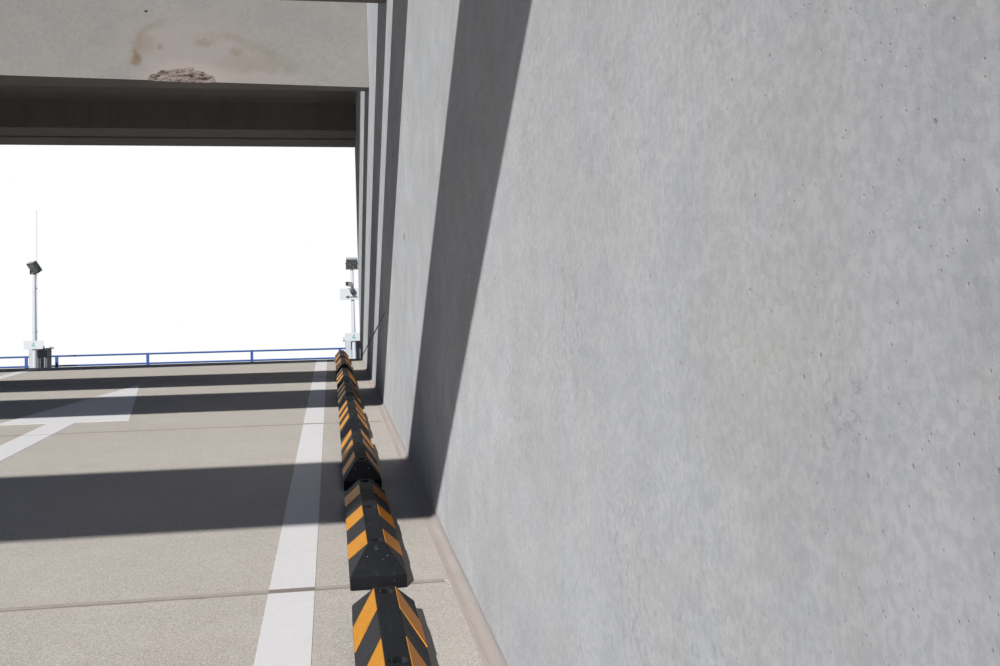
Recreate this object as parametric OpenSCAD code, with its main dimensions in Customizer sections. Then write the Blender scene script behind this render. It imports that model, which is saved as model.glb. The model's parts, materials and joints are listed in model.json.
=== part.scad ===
// Roof ramp of a multi storey car park with the roof deck bay that it leads to.
// The ramp climbs along +Y between two tall walls, and beams cross over it.
// The origin is on the ground, under the middle of the whole length and width.

/* [Ramp] */
// Clear width between the two ramp walls
ramp_w = 6850; // [6600:10:7400]
// Slope of the ramp in percent
ramp_slope = 12; // [9:0.5:14]
// Length of a whole ramp panel along the slope
panel_len = 3200; // [3000:10:3300]
// Length of the shorter panel at the ramp's head
top_panel_len = 2170; // [2000:10:2400]
// Thickness of the ramp and landing slabs
ramp_t = 200; // [160:5:250]
// Open joint between two slabs
slab_joint = 12; // [6:1:20]
// Length of the level landing at the ramp's foot
landing_len = 3150; // [2800:10:3400]
// Width of the beam under the landing's free edge
landing_beam_w = 300; // [200:10:400]
// Depth of that beam below the landing slab
landing_beam_h = 350; // [200:10:500]

/* [Ramp walls] */
// Thickness of the ramp walls
wall_t = 250; // [200:5:300]
// Height of the walls above the ramp's surface
wall_h = 3280; // [3150:10:3500]
// How far the walls run on past the ramp's head
wall_past = 510; // [480:5:700]
// Depth of the pockets that the beams sit in
pocket_d = 150; // [100:5:160]
// Clearance beside a beam in its pocket
pocket_gap = 5; // [2:1:10]
// Radius of the cove along the foot of the walls
cove_r = 25; // [20:5:60]
// Length of the casting joint on the walls, back from the ramp's head
wall_joint_len = 5140; // [3000:20:6000]
// Height of that joint above the deck's level
wall_joint_z = 10; // [5:5:100]
// Width of that joint
wall_joint_h = 20; // [10:1:30]
// Depth of that joint
wall_joint_d = 10; // [5:1:15]
// Diameter of the tie holes that the formwork left in the walls
tie_hole_d = 24; // [18:1:30]
// Depth of the tie holes
tie_hole_depth = 30; // [20:1:50]
// Lower tie hole, back from the ramp's head
low_tie_back = 6816; // [6600:1:6900]
// Lower tie hole, above the deck's level
low_tie_z = 187; // [100:1:300]
// Upper tie hole, back from the ramp's head
high_tie_back = 6253; // [6100:1:6400]
// Upper tie hole, above the deck's level
high_tie_z = 703; // [600:1:800]

/* [Beams over the ramp] */
// Height of the cross beams
cross_beam_h = 670; // [600:5:700]
// Thickness of the cross beams
cross_beam_t = 220; // [180:5:260]
// Clear height from the ramp up to the cross beams
cross_beam_clear = 2337; // [2200:1:2400]
// Front of the first cross beam, back from the ramp's head
cross_beam_1_back = 11297; // [11200:1:11400]
// Front of the second cross beam, back from the ramp's head
cross_beam_2_back = 8040; // [7900:1:8300]
// Front of the third cross beam, back from the ramp's head
cross_beam_3_back = 6225; // [6000:1:6500]
// Back of the tapered beam, before the ramp's head
tapered_beam_back = 3680; // [3500:1:3900]
// Thickness of the tapered beam at the right wall
tapered_beam_right_t = 95; // [90:1:150]
// Thickness of the tapered beam at the left wall
tapered_beam_left_t = 435; // [300:1:450]
// Middle of the broken lower edge of the tapered beam, from the centre line
break_x = 2068; // [1800:1:2300]
// Width of the broken edge
break_w = 470; // [300:5:600]
// Height of the broken edge
break_h = 110; // [60:5:150]
// Depth of the broken edge
break_d = 22; // [10:1:40]
// Clear height from the deck's level up to the twin beams over the ramp's head
head_clear = 2554; // [2450:1:2650]
// Height of the twin beams, below the slab that they carry
head_beam_h = 306; // [250:1:400]
// Thickness of each of the twin beams
head_beam_t = 320; // [300:5:330]
// Gap between the twin beams
head_beam_gap = 70; // [40:1:80]
// Front of the slab over the twin beams, back from the ramp's head
head_slab_back = 2720; // [2500:10:3100]
// Thickness of that slab
head_slab_t = 200; // [150:5:250]

/* [Wheel stops] */
// Length of a wheel stop
stop_len = 1050; // [950:5:1150]
// Width of its body
stop_w = 145; // [120:1:160]
// Height of a wheel stop
stop_h = 100; // [80:1:120]
// Width of its flat top
stop_top_w = 47; // [40:1:80]
// Length of its sloped ends
stop_end_len = 80; // [70:5:200]
// Height of its upright edge
stop_lip_h = 38; // [25:1:45]
// Distance from one wheel stop to the next
stop_pitch = 1275; // [1260:1:1290]
// Distance from the wall to a row of wheel stops
stop_off_wall = 150; // [140:1:200]
// How far the last wheel stop of a row reaches past the ramp's head
stop_past = 90; // [50:5:200]
// Number of wheel stops in a row
stop_count = 9; // [6:1:9]

/* [Roof deck] */
// Height of the roof deck above the ground
deck_z = 2900; // [2800:10:3100]
// Width of the roof deck
deck_w = 12900; // [12600:50:13400]
// Length of the roof deck from the ramp's head
deck_len = 16650; // [16400:50:17200]
// Thickness of the deck slabs
deck_t = 200; // [160:5:240]
// Depth of the beams below the deck slabs
deck_beam_h = 600; // [450:10:650]
// Width of those beams
deck_beam_w = 400; // [300:10:450]
// Side of the square columns
column_side = 400; // [350:10:450]
// Width of the kerb round the deck
kerb_w = 150; // [130:5:200]
// Height of the kerb
kerb_h = 150; // [100:5:200]

/* [Railings] */
// Height of the top rail above the deck
rail_z = 1160; // [1000:10:1200]
// Distance down from one rail to the next
rail_pitch = 260; // [200:5:280]
// Diameter of the rails
rail_d = 48; // [35:1:50]
// Width of a railing post
post_w = 70; // [60:1:80]
// Thickness of a railing post
post_t = 50; // [50:1:60]
// First far post from the left, from the deck's centre line
far_post_1 = -4905; // [-4950:5:-4850]
// Second far post
far_post_2 = -4145; // [-4200:5:-4000]
// Third far post
far_post_3 = -1825; // [-1900:5:-1700]
// Fourth far post
far_post_4 = 915; // [800:5:1100]
// Fifth far post
far_post_5 = 3310; // [3200:5:3400]
// Number of bays in a side railing
side_bays = 6; // [5:1:7]

/* [Lamp masts] */
// Left mast, from the deck's centre line
left_mast_x = -4285; // [-4500:5:-4200]
// Right mast, from the deck's centre line
right_mast_x = 3670; // [3500:5:3800]
// Masts, from the ramp's head
mast_y = 15100; // [14900:5:15200]
// Height of the masts
mast_h = 3120; // [2900:10:3300]
// Diameter of a mast at its foot
mast_foot_d = 120; // [110:1:130]
// Diameter of a mast at its top
mast_top_d = 76; // [70:1:90]
// Side of the foot plate
foot_plate_w = 300; // [260:5:340]
// Thickness of the foot plate
foot_plate_t = 20; // [12:1:25]
// Width of a floodlight
flood_w = 300; // [270:5:350]
// Height of a floodlight
flood_h = 290; // [250:5:320]
// Depth of a floodlight
flood_d = 110; // [80:5:120]
// Clearance between a floodlight and the arms of its yoke
flood_gap = 6; // [3:1:12]
// Tilt of the floodlights, with their top to the front
flood_tilt = 38; // [20:1:45]
// Turn of the left floodlight on its mast, to the left
left_flood_turn = 44; // [30:1:50]
// Turn of the right floodlight on its mast, to the left
right_flood_turn = 0; // [0:1:20]
// Height of the lightning rod above the deck
rod_h = 4810; // [4500:10:5200]
// Diameter of the lightning rod
rod_d = 20; // [16:1:24]
// Lightning rod, to the right of its mast
rod_right = 0; // [0:1:40]
// Clearance between the lightning rod and the floodlight before it
rod_gap = 5; // [3:1:15]

/* [Signs and cameras] */
// Width of the level signs
level_sign_w = 460; // [420:5:500]
// Height of the level signs
level_sign_h = 210; // [180:5:230]
// Middle of the level signs above the deck
level_sign_z = 1340; // [1320:5:1400]
// Width of the direction sign
direction_sign_w = 600; // [550:5:650]
// Height of the direction sign
direction_sign_h = 300; // [260:5:320]
// Middle of the direction sign above the deck
direction_sign_z = 2480; // [2450:5:2500]
// Middle of the direction sign, to the left of its mast
direction_sign_left = 30; // [0:5:60]
// Thickness of the signs
sign_t = 15; // [8:1:20]
// Space from a mast's centre to the back of its signs
sign_off = 80; // [75:1:90]
// Length of the box camera
camera_len = 200; // [160:5:220]
// Turn of the box camera, to the left
camera_turn = 30; // [20:1:40]
// Clearance between the box camera and the dome camera's arm
camera_gap = 15; // [5:1:30]
// Height of the dome camera above the deck
dome_z = 2530; // [2500:5:2560]
// Diameter of the dome camera
dome_d = 140; // [120:1:160]
// Thickness of the dome camera's arm and stem
dome_arm_t = 30; // [20:1:35]
// Clearance between the direction sign and the dome camera
dome_gap = 10; // [5:1:20]

/* [Cabinets behind the masts] */
// Width of a cabinet
cabinet_w = 435; // [400:5:500]
// Depth of a cabinet
cabinet_d = 400; // [350:5:440]
// Height of a cabinet
cabinet_h = 1280; // [1100:5:1350]
// Middle of a cabinet, to the right of its mast
cabinet_off = 0; // [-50:5:50]
// Front of a cabinet, behind the middle of its mast
cabinet_back = 300; // [250:5:350]
// Overhang of a cabinet's cap
cap_over = 60; // [30:5:80]
// Thickness of a cap at its low side
cap_low = 40; // [30:1:60]
// Thickness of a cap at its high side
cap_high = 95; // [70:1:110]

/* [Hidden] */
// How far a cut runs past the face it leaves
eps = 1;

wall_colour = "#aeaba7";
beam_colour = "#9c9994";
floor_colour = "#bdb9b3";
cove_colour = "#aa9e94";
rubber_colour = "#2e3033";
rail_colour = "#1f5096";
white_colour = "#e6e6e6";
dark_colour = "#4a4d4f";

ramp_a = atan(ramp_slope / 100);
slope_len = 3 * panel_len + top_panel_len;
ramp_run = slope_len * cos(ramp_a);
ramp_rise = slope_len * sin(ramp_a);
landing_z = deck_z - ramp_rise;
total_len = landing_len + ramp_run + deck_len;
y_front = -total_len / 2;
y_foot = y_front + landing_len;
y_head = y_foot + ramp_run;
y_far = y_head + deck_len;
y_wall_end = y_head + wall_past;
wall_x = ramp_w / 2;
edge_x = deck_w / 2;
head_beam_y1 = y_wall_end - 2 * head_beam_t - head_beam_gap;
head_beam_y2 = y_wall_end - head_beam_t;
head_beam_z = deck_z + head_clear;
head_slab_y = y_head - head_slab_back;
head_slab_z = head_beam_z + head_beam_h;
tapered_beam_y = y_head - tapered_beam_back;
kerb_x = edge_x - kerb_w / 2;
kerb_y_far = y_far - kerb_w / 2;
kerb_y_front = y_head + kerb_w / 2;
column_h = deck_z - deck_t - deck_beam_h;
deck_beam_first_y = y_wall_end;
// Bays of the deck, one slab each
bay_count = 3;
deck_beam_pitch = (y_far - deck_beam_w - deck_beam_first_y) / bay_count;
stop_first = slope_len + stop_past - (stop_count - 1) * stop_pitch - stop_len;
// Rails one above another
rail_count = 4;
// How far the left floodlight's housing reaches behind its pivot
flood_reach = flood_h / 2 * sin(flood_tilt) + flood_d / 2 * cos(flood_tilt);
rod_reach = flood_reach + rod_gap + rod_d / 2;
rod_behind = (rod_reach - rod_right * sin(left_flood_turn)) / cos(left_flood_turn);
dome_arm_z = direction_sign_z + direction_sign_h / 2 + dome_gap;
camera_z = dome_arm_z + dome_arm_t + camera_gap;
// Clearance between a mast and what is clamped round it
mast_clear = 0.3;

// Height of the driving surface at a place along the ramp
function surface_z(y) = max(landing_z, min(deck_z, landing_z + (y - y_foot) * tan(ramp_a)));

// A side outline in Y and Z, made as thick as w along X
module side_plate(x, w) {
    translate([x, 0, 0])
        rotate([90, 0, 90])
            linear_extrude(w)
                children();
}

// A pair of pockets for one beam, open at the walls' tops
module pocket(y, t, z) {
    translate([-wall_x - pocket_d, y - pocket_gap, z])
        cube([ramp_w + 2 * pocket_d, t + 2 * pocket_gap, wall_h]);
}

cross_beam_ys = [
    y_head - cross_beam_1_back,
    y_head - cross_beam_2_back,
    y_head - cross_beam_3_back
];
tapered_beam_z = surface_z(tapered_beam_y - cross_beam_t) + cross_beam_clear;

// The top steps down to the slab's underside where the slab lies on it
module wall_outline() {
    polygon([
        [y_front, 0],
        [y_wall_end, 0],
        [y_wall_end, head_slab_z],
        [head_slab_y, head_slab_z],
        [head_slab_y, surface_z(head_slab_y) + wall_h],
        [y_foot, landing_z + wall_h],
        [y_front, landing_z + wall_h]
    ]);
}

module casting_joint() {
    translate([-wall_x - wall_joint_d, y_head - wall_joint_len, deck_z + wall_joint_z])
        cube([ramp_w + 2 * wall_joint_d, wall_joint_len + wall_past + eps, wall_joint_h]);
}

// A pair of facing tie holes, one in each wall
module tie_holes(back, z) {
    reach = wall_x + tie_hole_depth;
    translate([-reach, y_head - back, deck_z + z])
        rotate([0, 90, 0])
            cylinder(d = tie_hole_d, h = 2 * reach, $fn = 48);
}

// A wall whose inner or outer face is at x, with the tapered beam's thickness there
module ramp_wall(x, tapered_t) {
    color(wall_colour)
        difference() {
            side_plate(x, wall_t) wall_outline();
            for (y = cross_beam_ys)
                pocket(y, cross_beam_t, surface_z(y) + cross_beam_clear);
            pocket(tapered_beam_y - tapered_t, tapered_t, tapered_beam_z);
            for (y = [head_beam_y1, head_beam_y2])
                pocket(y, head_beam_t, head_beam_z);
            casting_joint();
            tie_holes(low_tie_back, low_tie_z);
            tie_holes(high_tie_back, high_tie_z);
        }
}

module landing_slab() {
    color(floor_colour)
        translate([-wall_x, y_front, landing_z - ramp_t])
            cube([ramp_w, landing_len - slab_joint / 2, ramp_t]);
}

module landing_beam() {
    color(beam_colour)
        translate([-wall_x, y_front, landing_z - ramp_t - landing_beam_h])
            cube([ramp_w, landing_beam_w, landing_beam_h]);
}

// One ramp panel between two distances up the slope, with plumb ends
module ramp_panel(s1, s2) {
    y1 = y_foot + s1 * cos(ramp_a) + slab_joint / 2;
    y2 = y_foot + s2 * cos(ramp_a) - slab_joint / 2;
    depth = ramp_t / cos(ramp_a);
    color(floor_colour)
        side_plate(-wall_x, ramp_w)
            polygon([
                [y1, surface_z(y1) - depth],
                [y2, surface_z(y2) - depth],
                [y2, surface_z(y2)],
                [y1, surface_z(y1)]
            ]);
}

// What stands on the ramp: x as in the frame, y up the slope from the foot, z square to it
module on_ramp() {
    translate([0, y_foot, landing_z])
        rotate([ramp_a, 0, 0])
            children();
}

module cove() {
    color(cove_colour)
        on_ramp()
            translate([wall_x - cove_r, 0, 0])
                rotate([-90, 0, 0])
                    mirror([0, 1, 0])
                        linear_extrude(slope_len)
                            difference() {
                                square(cove_r);
                                translate([0, cove_r]) circle(cove_r, $fn = 64);
                            }
}

module wheel_stop() {
    intersection() {
        translate([0, stop_len, 0])
            rotate([90, 0, 0])
                linear_extrude(stop_len)
                    polygon([
                        [0, 0],
                        [stop_w, 0],
                        [stop_w, stop_lip_h],
                        [(stop_w + stop_top_w) / 2, stop_h],
                        [(stop_w - stop_top_w) / 2, stop_h],
                        [0, stop_lip_h]
                    ]);
        side_plate(0, stop_w)
            polygon([
                [0, 0],
                [stop_len, 0],
                [stop_len, stop_lip_h],
                [stop_len - stop_end_len, stop_h],
                [stop_end_len, stop_h],
                [0, stop_lip_h]
            ]);
    }
}

module wheel_stop_row() {
    row_x = wall_x - stop_off_wall - stop_w;
    color(rubber_colour)
        on_ramp()
            for (i = [0 : stop_count - 1])
                translate([row_x, stop_first + i * stop_pitch, 0])
                    wheel_stop();
}

module level_beam(y, t, z, h) {
    color(beam_colour)
        translate([-wall_x - pocket_d, y, z])
            cube([ramp_w + 2 * pocket_d, t, h]);
}

module cross_beam(i) {
    y = cross_beam_ys[i];
    level_beam(y, cross_beam_t, surface_z(y) + cross_beam_clear, cross_beam_h);
}

// The broken lower edge of the tapered beam, as shares of its width and height
break_outline = [
    [-0.5, -0.1], [-0.5, 0.12], [-0.46, 0.38], [-0.38, 0.44], [-0.3, 0.7], [-0.17, 0.72],
    [-0.08, 0.86], [0.02, 0.84], [0.1, 1], [0.17, 0.98], [0.2, 0.72], [0.32, 0.7],
    [0.38, 0.5], [0.47, 0.42], [0.5, 0.1], [0.5, -0.1]
];

// Deepest at the beam's soffit, and nothing at its top
module broken_edge() {
    taper = (tapered_beam_left_t - tapered_beam_right_t) / ramp_w;
    face_y = tapered_beam_y - tapered_beam_right_t - (wall_x - break_x) * taper;
    translate([break_x, face_y, tapered_beam_z])
        rotate([0, 0, atan(taper)])
            intersection() {
                translate([0, break_d, 0])
                    rotate([90, 0, 0])
                        linear_extrude(2 * break_d)
                            polygon([for (p = break_outline) [p[0] * break_w, p[1] * break_h]]);
                side_plate(-break_w, 2 * break_w)
                    polygon([[-break_d, -eps], [break_d, -eps], [0, break_h], [-break_d, break_h]]);
            }
}

// Thinner towards the right wall, with its back square to the ramp
module tapered_beam() {
    end_x = wall_x + pocket_d;
    color(beam_colour)
        difference() {
            translate([0, tapered_beam_y, tapered_beam_z])
                linear_extrude(cross_beam_h)
                    polygon([
                        [-end_x, 0],
                        [-end_x, -tapered_beam_left_t],
                        [-wall_x, -tapered_beam_left_t],
                        [wall_x, -tapered_beam_right_t],
                        [end_x, -tapered_beam_right_t],
                        [end_x, 0]
                    ]);
            broken_edge();
        }
}

module head_beam(y) {
    level_beam(y, head_beam_t, head_beam_z, head_beam_h);
}

// Laid on the twin beams and on the walls' tops
module head_slab() {
    color(beam_colour)
        translate([-wall_x - wall_t, head_slab_y, head_slab_z])
            cube([ramp_w + 2 * wall_t, y_wall_end - head_slab_y, head_slab_t]);
}

// Middle of the joint over a deck beam
function deck_joint_y(i) = deck_beam_first_y + i * deck_beam_pitch + deck_beam_w / 2;

// The first slab reaches forward between and beside the two walls
module deck_slab(i) {
    y1 = i == 0 ? y_head : deck_joint_y(i) + slab_joint / 2;
    y2 = i == bay_count - 1 ? y_far : deck_joint_y(i + 1) - slab_joint / 2;
    color(floor_colour)
        difference() {
            translate([-edge_x, y1, deck_z - deck_t])
                cube([deck_w, y2 - y1, deck_t]);
            for (x = [-wall_x - wall_t, wall_x])
                translate([x, y_head - eps, deck_z - deck_t - eps])
                    cube([wall_t, wall_past + eps, deck_t + 2 * eps]);
        }
}

module deck_beam(i) {
    color(beam_colour)
        translate([-edge_x, deck_beam_first_y + i * deck_beam_pitch, column_h])
            cube([deck_w, deck_beam_w, deck_beam_h]);
}

module columns(x) {
    color(beam_colour)
        for (i = [0 : bay_count])
            translate([x, deck_beam_first_y + i * deck_beam_pitch + (deck_beam_w - column_side) / 2, 0])
                cube([column_side, column_side, column_h]);
}

module side_kerb(x) {
    color(beam_colour)
        translate([x, y_head, deck_z])
            cube([kerb_w, deck_len, kerb_h]);
}

module far_kerb() {
    color(beam_colour)
        translate([kerb_w - edge_x, y_far - kerb_w, deck_z])
            cube([deck_w - 2 * kerb_w, kerb_w, kerb_h]);
}

module front_kerbs() {
    color(beam_colour)
        for (side = [0, 1])
            mirror([side, 0, 0])
                translate([wall_x + wall_t, y_head, deck_z])
                    cube([edge_x - kerb_w - wall_x - wall_t, kerb_w, kerb_h]);
}

module post(x, y, along_x) {
    w = along_x ? post_w : post_t;
    t = along_x ? post_t : post_w;
    translate([x - w / 2, y - t / 2, deck_z + kerb_h])
        cube([w, t, rail_z - kerb_h]);
}

// Rails from one place to another along X
module rails_x(x1, x2, y) {
    for (k = [0 : rail_count - 1])
        translate([x1, y, deck_z + rail_z - rail_d / 2 - k * rail_pitch])
            rotate([0, 90, 0])
                cylinder(d = rail_d, h = x2 - x1, $fn = 24);
}

// Rails from one place to another along Y
module rails_y(y1, y2, x) {
    for (k = [0 : rail_count - 1])
        translate([x, y2, deck_z + rail_z - rail_d / 2 - k * rail_pitch])
            rotate([90, 0, 0])
                cylinder(d = rail_d, h = y2 - y1, $fn = 24);
}

module far_railing() {
    color(rail_colour)
        union() {
            for (x = [-kerb_x, far_post_1, far_post_2, far_post_3, far_post_4, far_post_5, kerb_x])
                post(x, kerb_y_far, true);
            rails_x(-kerb_x, kerb_x, kerb_y_far);
        }
}

// From the front corner post to the far corner post, which it only touches
module side_railing(x) {
    bay = (kerb_y_far - kerb_y_front) / side_bays;
    color(rail_colour)
        union() {
            for (i = [0 : side_bays - 1])
                post(x, kerb_y_front + i * bay, false);
            rails_y(kerb_y_front, kerb_y_far - post_t / 2, x);
        }
}

module front_railings() {
    x1 = wall_x + wall_t;
    x2 = kerb_x - post_t / 2;
    color(rail_colour)
        for (side = [0, 1])
            mirror([side, 0, 0]) {
                post(x1 + post_w / 2, kerb_y_front, true);
                rails_x(x1, x2, kerb_y_front);
            }
}

module mast_shape(gap) {
    translate([0, 0, foot_plate_t])
        cylinder(
            d1 = mast_foot_d + 2 * gap,
            d2 = mast_top_d + 2 * gap,
            h = mast_h - foot_plate_t,
            $fn = 48
        );
}

module at_mast(x) {
    translate([x, y_head + mast_y, deck_z])
        children();
}

module mast(x) {
    color(white_colour)
        at_mast(x) {
            mast_shape(0);
            translate([-foot_plate_w / 2, -foot_plate_w / 2, 0])
                cube([foot_plate_w, foot_plate_w, foot_plate_t]);
        }
}

// A cap on the mast's top, a yoke with two arms, and the tilted housing on its pivot
module floodlight(x, turn) {
    yoke_t = 8;
    yoke_w = 50;
    cap_h = 30;
    pivot_d = 24;
    pivot_z = cap_h + yoke_t + flood_gap + sqrt(pow(flood_h / 2, 2) + pow(flood_d / 2, 2));
    arm_h = pivot_z - cap_h + yoke_w / 2;
    arm_x = flood_w / 2 + flood_gap;
    pivot_x = arm_x + yoke_t + flood_gap;
    color(dark_colour)
        at_mast(x)
            translate([0, 0, mast_h])
                rotate([0, 0, -turn]) {
                    cylinder(d = mast_top_d, h = cap_h, $fn = 48);
                    translate([0, 0, cap_h])
                        rotate([90, 0, 0])
                            linear_extrude(yoke_w, center = true)
                                difference() {
                                    translate([-arm_x - yoke_t, 0])
                                        square([2 * (arm_x + yoke_t), arm_h]);
                                    translate([-arm_x, yoke_t])
                                        square([2 * arm_x, arm_h]);
                                }
                    translate([0, 0, pivot_z])
                        rotate([flood_tilt, 0, 0]) {
                            translate([-flood_w / 2, -flood_d / 2, -flood_h / 2])
                                cube([flood_w, flood_d, flood_h]);
                            translate([-pivot_x, 0, 0])
                                rotate([0, 90, 0])
                                    cylinder(d = pivot_d, h = 2 * pivot_x, $fn = 32);
                        }
                }
}

// A rod that stands behind the left mast, held by three flat brackets
module lightning_rod() {
    bracket_t = 12;
    bracket_w = rod_right + 2 * rod_d;
    bracket_zs = [600, 1700, 2800];
    color("silver")
        at_mast(left_mast_x) {
            translate([rod_right, rod_behind, 0])
                cylinder(d = rod_d, h = rod_h, $fn = 24);
            difference() {
                for (z = bracket_zs)
                    translate([rod_right + rod_d - bracket_w, 0, z])
                        cube([bracket_w, rod_behind, bracket_t]);
                mast_shape(mast_clear);
            }
        }
}

// A sign plate in front of its mast, with the bracket that holds it
module sign_plate(w, h, z, off_x) {
    bracket_w = 50;
    bracket_h = 60;
    translate([off_x - w / 2, -sign_off - sign_t, z - h / 2])
        cube([w, sign_t, h]);
    difference() {
        translate([-bracket_w / 2, -sign_off, z - bracket_h / 2])
            cube([bracket_w, sign_off, bracket_h]);
        mast_shape(mast_clear);
    }
}

module level_signs() {
    color(white_colour)
        for (x = [left_mast_x, right_mast_x])
            at_mast(x)
                sign_plate(level_sign_w, level_sign_h, level_sign_z, 0);
}

module direction_sign() {
    color(white_colour)
        at_mast(right_mast_x)
            sign_plate(direction_sign_w, direction_sign_h, direction_sign_z, -direction_sign_left);
}

// A box camera before the right mast and to its left, on an arm from it
module bracket_camera() {
    arm_w = 30;
    box_w = 95;
    box_h = 100;
    left = 90;
    ahead = 150;
    color(white_colour)
        at_mast(right_mast_x)
            difference() {
                translate([0, 0, camera_z]) {
                    translate([-left, -ahead, 0])
                        rotate([0, 0, -camera_turn])
                            translate([-box_w / 2, -camera_len / 2, 0])
                                cube([box_w, camera_len, box_h]);
                    rotate([0, 0, -atan(left / ahead)])
                        translate([-arm_w / 2, -ahead, (box_h - arm_w) / 2])
                            cube([arm_w, ahead, arm_w]);
                }
                mast_shape(mast_clear);
            }
}

// A dome camera on a stem, under an arm that passes over the direction sign
module dome_camera() {
    ring_h = 60;
    rim = 5;
    out = sign_off + sign_t + dome_gap + dome_d / 2;
    color(dark_colour)
        at_mast(right_mast_x)
            difference() {
                translate([0, -out, 0]) {
                    translate([-dome_arm_t / 2, -dome_arm_t / 2, dome_arm_z])
                        cube([dome_arm_t, out + dome_arm_t / 2, dome_arm_t]);
                    translate([0, 0, dome_z]) {
                        cylinder(d = dome_arm_t, h = dome_arm_z - dome_z + dome_arm_t / 2, $fn = 32);
                        cylinder(d = dome_d, h = ring_h, $fn = 48);
                        intersection() {
                            sphere(d = dome_d - 2 * rim, $fn = 48);
                            translate([-dome_d, -dome_d, -dome_d])
                                cube([2 * dome_d, 2 * dome_d, dome_d + eps]);
                        }
                    }
                }
                mast_shape(mast_clear);
            }
}

module at_cabinet(x) {
    translate([x + cabinet_off, y_head + mast_y + cabinet_back, deck_z])
        children();
}

module cabinet(x) {
    color(dark_colour)
        at_cabinet(x)
            translate([-cabinet_w / 2, 0, 0])
                cube([cabinet_w, cabinet_d, cabinet_h]);
}

// Caps that fall to the right
module cabinet_caps() {
    w = cabinet_w / 2 + cap_over;
    color("silver")
        for (x = [left_mast_x, right_mast_x])
            at_cabinet(x)
                translate([0, cabinet_d + cap_over / 2, cabinet_h])
                    rotate([90, 0, 0])
                        linear_extrude(cabinet_d + cap_over)
                            polygon([[-w, 0], [w, 0], [w, cap_low], [-w, cap_high]]);
}

ramp_wall(wall_x, tapered_beam_right_t);  // right_wall
ramp_wall(-wall_x - wall_t, tapered_beam_left_t);  // left_wall
landing_slab();
landing_beam();
ramp_panel(0, panel_len);  // ramp_panel_1
ramp_panel(panel_len, 2 * panel_len);  // ramp_panel_2
ramp_panel(2 * panel_len, 3 * panel_len);  // ramp_panel_3
ramp_panel(3 * panel_len, slope_len);  // ramp_panel_4
cove();  // right_cove
mirror([1, 0, 0]) cove();  // left_cove
wheel_stop_row();  // right_wheel_stops
mirror([1, 0, 0]) wheel_stop_row();  // left_wheel_stops
cross_beam(0);  // cross_beam_1
cross_beam(1);  // cross_beam_2
cross_beam(2);  // cross_beam_3
tapered_beam();
head_beam(head_beam_y1);  // head_beam_front
head_beam(head_beam_y2);  // head_beam_back
head_slab();
deck_slab(0);  // deck_slab_1
deck_slab(1);  // deck_slab_2
deck_slab(2);  // deck_slab_3
deck_beam(0);  // deck_beam_1
deck_beam(1);  // deck_beam_2
deck_beam(2);  // deck_beam_3
deck_beam(3);  // deck_beam_4
columns(edge_x - column_side);  // right_columns
columns(-edge_x);  // left_columns
side_kerb(edge_x - kerb_w);  // right_kerb
side_kerb(-edge_x);  // left_kerb
far_kerb();
front_kerbs();
far_railing();
side_railing(kerb_x);  // right_railing
side_railing(-kerb_x);  // left_railing
front_railings();
mast(left_mast_x);  // left_mast
mast(right_mast_x);  // right_mast
floodlight(left_mast_x, left_flood_turn);  // left_floodlight
floodlight(right_mast_x, right_flood_turn);  // right_floodlight
lightning_rod();
level_signs();
direction_sign();
bracket_camera();
dome_camera();
cabinet(left_mast_x);  // left_cabinet
cabinet(right_mast_x);  // right_cabinet
cabinet_caps();
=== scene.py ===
# Roof ramp and deck bay of a multi storey car park: finishes and small pieces on the fixed solids.
# Metres, +Z up, +Y uphill, +X to the right when driving up. The origin is on the ground.
import json
import math
import bmesh
import bpy
from mathutils import Matrix, Vector, noise


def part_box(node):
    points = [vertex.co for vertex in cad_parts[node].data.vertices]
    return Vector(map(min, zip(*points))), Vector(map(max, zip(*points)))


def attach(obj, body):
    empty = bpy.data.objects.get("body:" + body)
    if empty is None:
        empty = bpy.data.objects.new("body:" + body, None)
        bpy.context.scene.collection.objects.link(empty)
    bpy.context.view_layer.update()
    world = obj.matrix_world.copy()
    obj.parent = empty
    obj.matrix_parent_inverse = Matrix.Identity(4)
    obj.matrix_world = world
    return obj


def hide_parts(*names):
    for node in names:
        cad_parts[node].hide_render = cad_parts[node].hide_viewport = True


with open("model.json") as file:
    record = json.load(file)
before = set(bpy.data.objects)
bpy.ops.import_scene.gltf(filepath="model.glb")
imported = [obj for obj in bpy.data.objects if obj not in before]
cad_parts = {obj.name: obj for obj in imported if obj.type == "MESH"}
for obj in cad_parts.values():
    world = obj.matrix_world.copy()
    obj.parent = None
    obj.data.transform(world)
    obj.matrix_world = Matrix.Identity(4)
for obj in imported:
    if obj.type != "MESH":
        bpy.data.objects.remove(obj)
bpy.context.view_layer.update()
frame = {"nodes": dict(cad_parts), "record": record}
nodes = frame["nodes"]
print("frame loaded,", len(nodes), "nodes")

# places read from the solids
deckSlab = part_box("deck_slab_1")
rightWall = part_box("right_wall")
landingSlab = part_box("landing_slab")
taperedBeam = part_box("tapered_beam")
wallX = rightWall[0].x
deckZ = deckSlab[1].z
headY = deckSlab[0].y
frontY = rightWall[0].y
soffitZ = taperedBeam[0].z
breakX = 2.068  # middle of the tapered beam's broken edge
slabJoint = 0.012  # open joint between two slabs
rampRise = 0.12  # metres up per metre along the ground
rampAngle = math.atan(rampRise)
footY = landingSlab[1].y + slabJoint / 2
slopeLength = (headY - footY) / math.cos(rampAngle)
# x across, y up the slope from the ramp's head, z square to the slope
rampPlace = Matrix.Translation((0, headY, deckZ)) @ Matrix.Rotation(rampAngle, 4, "X")
landingPlace = Matrix.Translation((0, footY, landingSlab[1].z))


# turns a bmesh into mesh data
def toData(mesh, name):
    data = bpy.data.meshes.new(name)
    mesh.to_mesh(data)
    mesh.free()
    return data


# puts data into the scene as an object
def putIn(name, data):
    made = bpy.data.objects.new(name, data)
    bpy.context.scene.collection.objects.link(made)
    return made


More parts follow.
